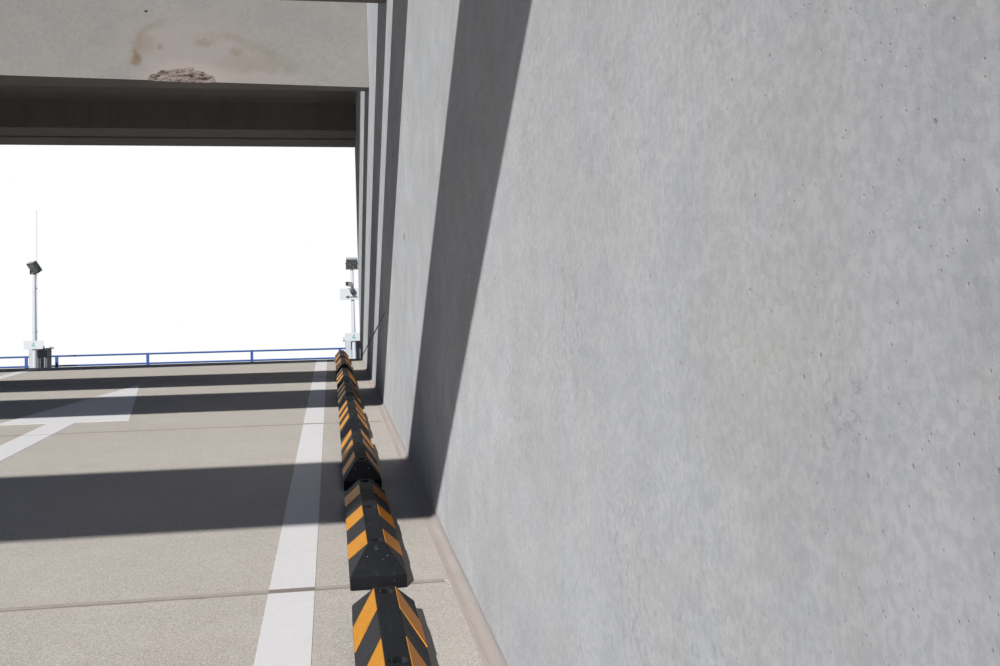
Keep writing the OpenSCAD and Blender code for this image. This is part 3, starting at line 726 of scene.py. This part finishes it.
# sealant over the joints, the open slit at the lower side of each band, and the bare part of a
# band between the ends of the lines
def layJoints():
    m = marking
    bands, slits, gaps = bmesh.new(), bmesh.new(), bmesh.new()
    width = 2 * wallX - m["bandShort"]
    for back in (*m["jointBacks"], slopeLength):
        addBlock(bands, (0, -back, 0), (width, m["bandWidth"], 2 * m["bandThick"]), rampPlace)
    addBlock(bands, (0, 0, -m["headBandThick"] / 2),
             (width, m["headBandWidth"], m["headBandThick"]), rampPlace)
    for name in ("deck_slab_1", "deck_slab_2"):
        low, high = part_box(name)
        addBlock(bands, ((low.x + high.x) / 2, high.y + slabJoint / 2, deckZ),
                 (high.x - low.x - m["deckBandShort"], m["deckBandWidth"], m["deckBandThick"]))
    for back in m["jointBacks"]:
        slitY = -back - m["bandWidth"] / 2 + m["crackWidth"] / 2
        addBlock(slits, (0, slitY, 0), (width, m["crackWidth"], 2 * m["crackThick"]), rampPlace)
        for side in (-1, 1):
            addBlock(gaps, (side * m["lineX"], -back, 0),
                     (m["lineWidth"], m["bandWidth"], 2 * m["thick"]), rampPlace)
    makePiece(bands, "joint_bands", "sealant")
    makePiece(slits, "joint_slits", "slit")
    makePiece(gaps, "joint_gaps", "gap")


# thin mortar trowelled out over the floor beside the cove
def layMortarEdges():
    m = marking
    mesh = bmesh.new()
    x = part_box("right_cove")[0].x - m["smearWidth"] / 2
    for side in (-1, 1):
        addBlock(mesh, (side * x, -slopeLength / 2, 0),
                 (m["smearWidth"], slopeLength, 2 * m["smearThick"]), rampPlace)
    makePiece(mesh, "mortar_edges", "cove")


layLines()
layArrows()
layJoints()
layMortarEdges()
print("markings and joints laid")


# Wheel stops: rubber blocks with yellow sheeting on both flanks and three bolts in each.
# Those in turnedRound have their strips slanted the other way.
wheelStop = dict(
    length=1.05, width=0.145, height=0.1, topWidth=0.047, endLength=0.08, lip=0.038,
    pitch=1.275, count=9, past=0.09, offWall=0.15,
    edge=0.004,
    holeInset=0.115, holeRadius=0.018, holeDepth=0.03,
    boltRadius=0.0095, boltHeight=0.018, washerRadius=0.0155, washerThick=0.002,
    stripStarts=(0.084, 0.405, 0.735), stripLength=0.148, stripSlant=0.076, stripThick=0.0012,
    stripEdge=0.001,
    turnedRound=(0, 1, 3, 4, 5, 6, 7, 8),
    pinSpread=0.026, pinDown=0.042, pinRadius=0.0012, pinLength=0.003, pinSunk=0.002,
)


# the block alone, from its lane side at x = 0 and its lower end at y = 0
def stopBlock():
    w = wheelStop
    mesh = bmesh.new()
    addBlock(mesh, (w["width"] / 2, w["length"] / 2, w["lip"] / 2),
             (w["width"], w["length"], w["lip"]))
    top = max(mesh.faces, key=lambda face: face.calc_center_median().z)
    raised = bmesh.ops.extrude_discrete_faces(mesh, faces=[top])["faces"][0]
    topLength = w["length"] - 2 * w["endLength"]
    shrink = Matrix.Diagonal((w["topWidth"] / w["width"], topLength / w["length"], 1, 1))
    middle = Matrix.Translation((w["width"] / 2, w["length"] / 2, 0))
    lift = Matrix.Translation((0, 0, w["height"] - w["lip"]))
    bmesh.ops.transform(
        mesh, matrix=lift @ middle @ shrink @ middle.inverted(), verts=raised.verts[:])
    roundEdges(mesh, mesh.edges[:], w["edge"])
    return toData(mesh, "stopBlock")


def holePlaces():
    w = wheelStop
    return [w["holeInset"], w["length"] / 2, w["length"] - w["holeInset"]]


# the block with its bolt holes cut
def drilledBlock():
    w = wheelStop
    cutters = bmesh.new()
    for y in holePlaces():
        addBar(cutters, (w["width"] / 2, y, w["height"] - w["holeDepth"]), w["holeRadius"],
               w["height"], sides=24)
    block = putIn("drilledBlock", stopBlock())
    cutter = putIn("cutters", toData(cutters, "cutters"))
    cut = block.modifiers.new("holes", "BOOLEAN")
    cut.object = cutter
    cut.solver = "EXACT"
    view = bpy.context.evaluated_depsgraph_get()
    drilled = bpy.data.meshes.new_from_object(block.evaluated_get(view))
    bpy.data.objects.remove(block)
    bpy.data.objects.remove(cutter)
    return drilled


def stopPlaces(side):
    w = wheelStop
    lowest = w["past"] - (w["count"] - 1) * w["pitch"] - w["length"]
    x = wallX - w["offWall"] - w["width"]
    row = Matrix.Diagonal((side, 1, 1, 1)) @ rampPlace
    return [row @ Matrix.Translation((x, lowest + i * w["pitch"], 0)) for i in range(w["count"])]


# bolts on their washers, down in the holes
def addStopBolts(mesh, place):
    w = wheelStop
    x = w["width"] / 2
    bed = w["height"] - w["holeDepth"]
    for y in holePlaces():
        addBar(mesh, (x, y, bed), w["washerRadius"], w["washerThick"], sides=20, place=place)
        addBar(mesh, (x, y, bed + w["washerThick"]), w["boltRadius"], w["boltHeight"], sides=6,
               place=place)


# two pin heads on each sloping end
def addStopPins(mesh, place):
    w = wheelStop
    slope = math.atan2(w["height"] - w["lip"], w["endLength"])
    for y, turn in ((w["endLength"], slope), (w["length"] - w["endLength"], -slope)):
        end = (place @ Matrix.Translation((w["width"] / 2, y, w["height"]))
               @ Matrix.Rotation(turn, 4, "X"))
        for x in (-w["pinSpread"], w["pinSpread"]):
            addBar(mesh, (x, -math.copysign(w["pinDown"], turn), -w["pinSunk"]), w["pinRadius"],
                   w["pinLength"], sides=10, place=end)


# slanted strips of sheeting, three on each flank
def addStopStrips(mesh, place, turned):
    w = wheelStop
    inset = (w["width"] - w["topWidth"]) / 2
    rise = w["height"] - w["lip"]
    along = Vector((0, w["stripLength"], 0))
    for lowX, topX, outX in ((0, inset, -rise), (w["width"], w["width"] - inset, rise)):
        out = Vector((outX, 0, inset)).normalized()
        for start in w["stripStarts"]:
            low = start + w["stripSlant"]
            if turned:
                start = w["length"] - start - w["stripLength"]
                low = start - w["stripSlant"]
            foot = Vector((lowX, low, w["lip"] + w["stripEdge"]))
            head = Vector((topX, start, w["height"] - w["stripEdge"]))
            middle = Matrix.Translation((foot + head + along) / 2)
            shape = Matrix((along, head - foot, out * w["stripThick"] * 2)).transposed().to_4x4()
            bmesh.ops.create_cube(mesh, size=1, matrix=place @ middle @ shape)


def makeStops(side, name, block):
    rubber, strips, bolts = bmesh.new(), bmesh.new(), bmesh.new()
    for index, place in enumerate(stopPlaces(side)):
        laid = block.copy()
        laid.transform(place)
        rubber.from_mesh(laid)
        bpy.data.meshes.remove(laid)
        addStopBolts(bolts, place)
        addStopPins(bolts, place)
        addStopStrips(strips, place, index in wheelStop["turnedRound"])
    stops = makePiece(rubber, name + "_wheel_stop_row", "rubber", softAngle)
    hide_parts(name + "_wheel_stops")
    makePiece(strips, name + "_stop_strips", "yellow")
    makePiece(bolts, name + "_stop_bolts", "zinc")


block = drilledBlock()
makeStops(1, "right", block)
makeStops(-1, "left", block)
print("wheel stops made")


# The broken lower edge of the tapered beam. Its upper line is given as shares of its width and
# height, and so is where it fades out: within 1/sideFade of its ends and 1/topFade of that line.
broken = dict(
    width=0.47, height=0.11, depth=0.022,
    rightThick=0.095, leftThick=0.435,
    top=[(-0.5, 0.12), (-0.46, 0.38), (-0.38, 0.44), (-0.3, 0.7), (-0.17, 0.72), (-0.08, 0.86),
         (0.02, 0.84), (0.1, 1), (0.17, 0.98), (0.2, 0.72), (0.32, 0.7), (0.38, 0.5), (0.47, 0.42),
         (0.5, 0.1)],
    columns=90, rows=22,
    relief=0.006, reliefBack=0.6,
    lumpsAcross=14, lumpsUp=6, seed=4.7, softness=0.9, finer=2.1, octaves=5,
    sideFade=9, topFade=4, fadePower=0.6, least=0.0003, skin=0.003,
)


def brokenTop(share):
    points = broken["top"]
    for (x1, z1), (x2, z2) in zip(points, points[1:]):
        if share <= x2:
            return z1 + (z2 - z1) * (share - x1) / (x2 - x1)
    return points[-1][1]


def makeBrokenEdge():
    b = broken
    taper = (b["leftThick"] - b["rightThick"]) / (2 * wallX)
    faceY = taperedBeam[1].y - b["rightThick"] - (wallX - breakX) * taper
    place = Matrix.Translation((breakX, faceY, soffitZ)) @ Matrix.Rotation(math.atan(taper), 4, "Z")
    mesh = bmesh.new()
    bmesh.ops.create_grid(mesh, x_segments=b["columns"], y_segments=b["rows"], size=0.5)
    for vert in mesh.verts:
        across = vert.co.x
        top = brokenTop(across)
        up = (vert.co.y + 0.5) * top
        inside = max(0, min(1, (0.5 - abs(across)) * b["sideFade"], (top - up) * b["topFade"]))
        spot = Vector((across * b["lumpsAcross"], up * b["lumpsUp"], b["seed"]))
        rough = noise.fractal(spot, b["softness"], b["finer"], b["octaves"])
        hollow = b["depth"] * (1 - up) + b["relief"] * (rough - b["reliefBack"])
        inward = max(b["least"], hollow * inside ** b["fadePower"])
        vert.co = place @ Vector((across * b["width"], inward, up * b["height"]))
    made = makePiece(mesh, "broken_beam_edge", "broken")
    thicken = made.modifiers.new("thicken", "SOLIDIFY")
    thicken.thickness = b["skin"]
    thicken.offset = 0


makeBrokenEdge()
print("broken edge made")


# Railings: a bolted plate under each post, and a cap on it
railing = dict(
    farPosts=(-4.905, -4.145, -1.825, 0.915, 3.31), sideBays=6,
    kerbHeight=0.15, postWidth=0.07, postThick=0.05, height=1.16,
    plateLength=0.13, plateWidth=0.1, plateThick=0.01,
    boltRadius=0.008, boltHeight=0.006, boltInset=(0.012, 0.013),
    capWider=0.004, capThick=0.006, edge=0.002,
)


# each post's X and Y, and whether its rail runs along X
def postPlaces():
    r = railing
    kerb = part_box("right_kerb")
    x = (kerb[0].x + kerb[1].x) / 2
    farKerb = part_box("far_kerb")
    farY = (farKerb[0].y + farKerb[1].y) / 2
    nearY = headY + (kerb[1].x - kerb[0].x) / 2
    bay = (farY - nearY) / r["sideBays"]
    places = [(postX, farY, True) for postX in (-x, *r["farPosts"], x)]
    for side in (-1, 1):
        places += [(side * x, nearY + i * bay, False) for i in range(r["sideBays"])]
        places.append((side * (rightWall[1].x + r["postWidth"] / 2), nearY, True))
    return places


def makeRailingFittings():
    r = railing
    plates, bolts = bmesh.new(), bmesh.new()
    capZ = r["height"] - r["kerbHeight"] - r["capThick"] / 2
    boltX = r["plateLength"] / 2 - r["boltInset"][0]
    boltY = r["plateWidth"] / 2 - r["boltInset"][1]
    for x, y, alongX in postPlaces():
        turn = Matrix.Identity(4) if alongX else Matrix.Rotation(math.pi / 2, 4, "Z")
        place = Matrix.Translation((x, y, deckZ + r["kerbHeight"])) @ turn
        shift = 0
        if alongX and y < 0:  # beside the wall's end the plate keeps clear of the wall
            shift = math.copysign((r["plateLength"] - r["postWidth"]) / 2, x)
        addBlock(plates, (shift, 0, r["plateThick"] / 2),
                 (r["plateLength"], r["plateWidth"], r["plateThick"]), place, r["edge"])
        for sx in (-1, 1):
            for sy in (-1, 1):
                addBar(bolts, (shift + sx * boltX, sy * boltY, r["plateThick"]), r["boltRadius"],
                       r["boltHeight"], sides=6, place=place)
        addBlock(plates, (0, 0, capZ),
                 (r["postWidth"] + r["capWider"], r["postThick"] + r["capWider"], r["capThick"]),
                 place, r["edge"])
    makePiece(plates, "railing_plates", "blue")
    makePiece(bolts, "railing_bolts", "zinc")


makeRailingFittings()
print("railing fittings made")


# Lamp masts: bolts on the foot plate, a collar on it and a small door.
# A bolt is a washer, a nut and the bolt's end: share of boltRadius, height, sides.
mast = dict(
    x=dict(left=-4.285, right=3.67), y=15.1, height=3.12, footRadius=0.06, topRadius=0.038,
    plateThick=0.02, boltSpread=0.11, boltRadius=0.014,
    boltParts=((1.5, 0.003, 20), (1, 0.02, 6), (0.5, 0.04, 12)),
    doorZ=0.65, doorHeight=0.32, doorWidth=0.075, doorThick=0.02, doorSunk=0.008, doorEdge=0.004,
    collarShares=(1.25, 1.02), collarHeight=0.02,
)


def mastPlace(side):
    return Matrix.Translation((mast["x"][side], headY + mast["y"], deckZ))


def makeMastFoot(side):
    m = mast
    place = mastPlace(side)
    bolts, door = bmesh.new(), bmesh.new()
    for sx in (-1, 1):
        for sy in (-1, 1):
            spot = (sx * m["boltSpread"], sy * m["boltSpread"], m["plateThick"])
            for share, height, sides in m["boltParts"]:
                addBar(bolts, spot, m["boltRadius"] * share, height, sides=sides, place=place)
    radius = m["footRadius"] - (m["footRadius"] - m["topRadius"]) * m["doorZ"] / m["height"]
    addBlock(door, (0, radius - m["doorSunk"], m["doorZ"]),
             (m["doorWidth"], m["doorThick"], m["doorHeight"]), place, m["doorEdge"])
    low, top = m["collarShares"]
    addBar(door, (0, 0, m["plateThick"]), m["footRadius"] * low, m["collarHeight"], sides=32,
           topRadius=m["footRadius"] * top, place=place)
    makePiece(bolts, side + "_mast_bolts", "zinc")
    makePiece(door, side + "_mast_door", "white", softAngle)


# The lamps: a lens with bars before it, and cooling fins on the back
floodlight = dict(
    capHeight=0.03, yokeThick=0.008, gap=0.006,
    width=0.3, height=0.29, depth=0.11, tilt=38, turn=dict(left=44, right=0),
    rim=0.025, lensShort=0.07, lensDown=0.01, lensOut=0.001, lensThick=0.006, lensEdge=0.002,
    barThick=0.006, barOut=0.005, cells=5, rows=4,
    fins=13, finThick=0.005, finDepth=0.02, finOut=0.009, finShort=0.04,
)


def lampPlace(side):
    f = floodlight
    pivotZ = (mast["height"] + f["capHeight"] + f["yokeThick"] + f["gap"]
              + math.hypot(f["height"], f["depth"]) / 2)
    turned = mastPlace(side) @ Matrix.Rotation(-math.radians(f["turn"][side]), 4, "Z")
    tilted = Matrix.Rotation(math.radians(f["tilt"]), 4, "X")
    return turned @ Matrix.Translation((0, 0, pivotZ)) @ tilted


def makeLampFace(side):
    f = floodlight
    place = lampPlace(side)
    lens, trim = bmesh.new(), bmesh.new()
    back = f["depth"] / 2
    wide = f["width"] - 2 * f["rim"]
    tall = f["height"] - f["lensShort"]
    leftX = f["rim"] - f["width"] / 2
    lowZ = f["rim"] - f["height"] / 2
    addBlock(lens, (0, -back - f["lensOut"], -f["lensDown"]), (wide, f["lensThick"], tall), place,
             f["lensEdge"])
    for i in range(f["cells"] + 1):
        addBlock(trim, (leftX + i * wide / f["cells"], -back - f["barOut"], -f["lensDown"]),
                 (f["barThick"], f["barThick"], tall), place)
    for i in range(f["rows"]):
        addBlock(trim, (0, -back - f["barOut"], lowZ + i * tall / (f["rows"] - 1)),
                 (wide, f["barThick"], f["barThick"]), place)
    for i in range(f["fins"]):
        addBlock(trim, (leftX + i * wide / (f["fins"] - 1), back + f["finOut"], 0),
                 (f["finThick"], f["finDepth"], f["height"] - f["finShort"]), place)
    makePiece(lens, side + "_lamp_lens", "lens")
    makePiece(trim, side + "_lamp_trim", "dark")


# Signs: a white face in each frame, a figure on the level signs and an arrow on the direction sign
sign = dict(
    off=0.08, thick=0.015, rim=0.012, film=0.002, printOut=0.0018, printThick=0.0012,
    levelZ=1.34, levelSize=(0.46, 0.21), figureHeight=0.13,
    directionX=-0.03, directionZ=2.48, directionSize=(0.6, 0.3), arrowDown=0.08, arrowHeight=0.1,
)

# a plain figure 4, one unit tall, and an arrow to the left, one unit tall
figureFour = [
    [(0.05, -0.5), (0.19, -0.5), (0.19, 0.5), (0.05, 0.5)],
    [(-0.34, -0.26), (0.05, -0.26), (0.05, -0.13), (-0.34, -0.13)],
    [(0.19, -0.26), (0.34, -0.26), (0.34, -0.13), (0.19, -0.13)],
    [(-0.34, -0.13), (-0.17, -0.13), (0.05, 0.33), (0.05, 0.5)],
]
arrowLeft = [
    [(-1.6, 0), (-0.75, 0.5), (-0.75, -0.5)],
    [(-0.75, -0.14), (-0.75, 0.14), (1.6, 0.14), (1.6, -0.14)],
]


def addSignFace(mesh, middle, size):
    s = sign
    addBlock(mesh, middle + Vector((0, -s["off"] - s["thick"] - s["film"] / 2, 0)),
             (size[0] - s["rim"], s["film"], size[1] - s["rim"]))


# outlines drawn one unit tall, stood up on a sign
def addPrint(mesh, outlines, middle, height):
    s = sign
    upright = (Matrix.Translation(middle + Vector((0, -s["off"] - s["thick"] - s["printOut"], 0)))
               @ Matrix.Rotation(math.pi / 2, 4, "X"))
    for points in outlines:
        addOutline(mesh, [(x * height, z * height) for x, z in points], s["printThick"], upright)


def makeSignFaces():
    s = sign
    plates, figures, arrow = bmesh.new(), bmesh.new(), bmesh.new()
    for side in ("left", "right"):
        level = mastPlace(side).to_translation() + Vector((0, 0, s["levelZ"]))
        addSignFace(plates, level, s["levelSize"])
        addPrint(figures, figureFour, level, s["figureHeight"])
    direction = mastPlace("right").to_translation() + Vector((s["directionX"], 0, s["directionZ"]))
    addSignFace(plates, direction, s["directionSize"])
    addPrint(arrow, arrowLeft, direction - Vector((0, 0, s["arrowDown"])), s["arrowHeight"])
    makePiece(plates, "sign_faces", "signWhite")
    makePiece(figures, "sign_figures", "signGreen")
    makePiece(arrow, "sign_arrow", "signBlack")


# The box camera's hood and dark glass, with a ring round the glass
boxCamera = dict(
    left=0.09, ahead=0.15, turn=30, width=0.095, length=0.2, height=0.1, edge=0.0015,
    hoodThick=0.004, hoodWider=0.01, hoodLonger=0.03, hoodForward=0.015,
    glassThick=0.004, glassNarrower=0.01, glassLower=0.012, glassOut=0.001,
    ringOut=0.002, ringRadii=(0.032, 0.028), ringLength=0.008,
)


def makeCameraFront():
    c = boxCamera
    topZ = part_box("bracket_camera")[1].z - deckZ
    place = (mastPlace("right")
             @ Matrix.Translation((-c["left"], -c["ahead"], topZ - c["height"] / 2))
             @ Matrix.Rotation(-math.radians(c["turn"]), 4, "Z"))
    hood, glass = bmesh.new(), bmesh.new()
    addBlock(hood, (0, -c["hoodForward"], c["height"] / 2 + c["hoodThick"] / 2),
             (c["width"] + c["hoodWider"], c["length"] + c["hoodLonger"], c["hoodThick"]),
             place, c["edge"])
    front = -c["length"] / 2
    addBlock(glass, (0, front - c["glassOut"], 0),
             (c["width"] - c["glassNarrower"], c["glassThick"], c["height"] - c["glassLower"]),
             place, c["edge"])
    forward = (place @ Matrix.Translation((0, front - c["ringOut"], 0))
               @ Matrix.Rotation(math.pi / 2, 4, "X"))
    low, top = c["ringRadii"]
    addBar(glass, (0, 0, 0), low, c["ringLength"], sides=32, topRadius=top, place=forward)
    makePiece(hood, "camera_hood", "white")
    makePiece(glass, "camera_glass", "glass")


for side in ("left", "right"):
    makeMastFoot(side)
    makeLampFace(side)
makeSignFaces()
makeCameraFront()
print("masts and signs fitted")


# Cabinets: a pale side sheet and a dark door in front, with two pale cable ducts before the door,
# and a dark sheet behind
cabinet = dict(
    back=0.3, width=0.435, depth=0.4, height=1.28,
    paleRight=-0.06, seam=0.005, sheetThick=0.006, foot=0.04, head=0.02, sheetEdge=0.002,
    ductX=(-0.024, 0.155), ductWidth=0.046, ductDepth=0.03, ductHeight=1.05, ductEdge=0.004,
    hingeZ=(0.2, 1.08), hingeInset=0.004, hingeRadius=0.007, hingeLength=0.07,
)


def makeCabinetFronts():
    c = cabinet
    doors, sheets, ducts = bmesh.new(), bmesh.new(), bmesh.new()
    half = c["width"] / 2 - c["seam"]
    doorLeft = c["paleRight"] + c["seam"]
    middleZ = (c["height"] - c["head"] + c["foot"]) / 2
    tall = c["height"] - c["head"] - c["foot"]
    thick = c["sheetThick"]
    for side in ("left", "right"):
        place = mastPlace(side) @ Matrix.Translation((0, c["back"], 0))
        for mesh, left, right, y in (
                (sheets, -half, c["paleRight"], -thick / 2),
                (doors, doorLeft, half, -thick / 2),
                (doors, -half, half, c["depth"] + thick / 2)):
            addBlock(mesh, ((left + right) / 2, y, middleZ), (right - left, thick, tall), place,
                     c["sheetEdge"])
        for z in c["hingeZ"]:
            addBar(doors, (half - c["hingeInset"], -thick, z), c["hingeRadius"], c["hingeLength"],
                   place=place)
        for x in c["ductX"]:
            addBlock(ducts, (x, -thick - c["ductDepth"] / 2, c["ductHeight"] / 2),
                     (c["ductWidth"], c["ductDepth"], c["ductHeight"]), place, c["ductEdge"])
    makePiece(doors, "cabinet_doors", "grey")
    makePiece(sheets, "cabinet_sheets", "pale")
    makePiece(ducts, "cabinet_ducts", "pale")


makeCabinetFronts()
print("cabinets fitted")


# Floor, light and background
stageSet = dict(
    floorSize=260, floorColour="#e4e2de",
    sunTowards=(0.41, 1, -0.55), sunSoftness=0.6, sunPower=5.3,
    worldPower=0.15, worldColour="#7fb0ff",
)


def makeStage():
    mesh = bmesh.new()
    bmesh.ops.create_grid(mesh, x_segments=1, y_segments=1, size=stageSet["floorSize"] / 2)
    floor = putIn("studioFloor", toData(mesh, "studioFloor"))
    floor.data.materials.append(startMaterial(
        "studioFloor", Roughness=0.9, Base_Color=toLinear(stageSet["floorColour"]))[0])


# one sun, and a world that is bluish and weak on the object but white behind it and in reflections
def makeLight():
    sun = bpy.data.lights.new("keyLight", "SUN")
    sun.energy = stageSet["sunPower"]
    sun.angle = math.radians(stageSet["sunSoftness"])
    key = putIn("keyLight", sun)
    key.rotation_euler = Vector(stageSet["sunTowards"]).to_track_quat("-Z", "Y").to_euler()
    world = bpy.data.worlds.new("studioWorld")
    bpy.context.scene.world = world
    world.use_nodes = True
    tree = world.node_tree
    background = tree.nodes["Background"]
    rays = addNode(tree, "ShaderNodeLightPath").node.outputs
    seen = rays["Is Camera Ray"]
    for kind in ("Is Glossy Ray", "Is Transmission Ray"):
        seen = addNode(tree, "ShaderNodeMath", {0: seen, 1: rays[kind]}, operation="MAXIMUM")
    power = addNode(tree, "ShaderNodeMapRange", {
        "Value": seen, "To Min": stageSet["worldPower"], "To Max": 1})
    colour = addNode(tree, "ShaderNodeMix", {
        0: seen, 6: toLinear(stageSet["worldColour"]), 7: (1, 1, 1, 1)}, data_type="RGBA", out=2)
    tree.links.new(power, background.inputs["Strength"])
    tree.links.new(colour, background.inputs["Color"])


makeStage()
makeLight()
bpy.context.scene.view_settings.view_transform = "Standard"
print("stage lit")
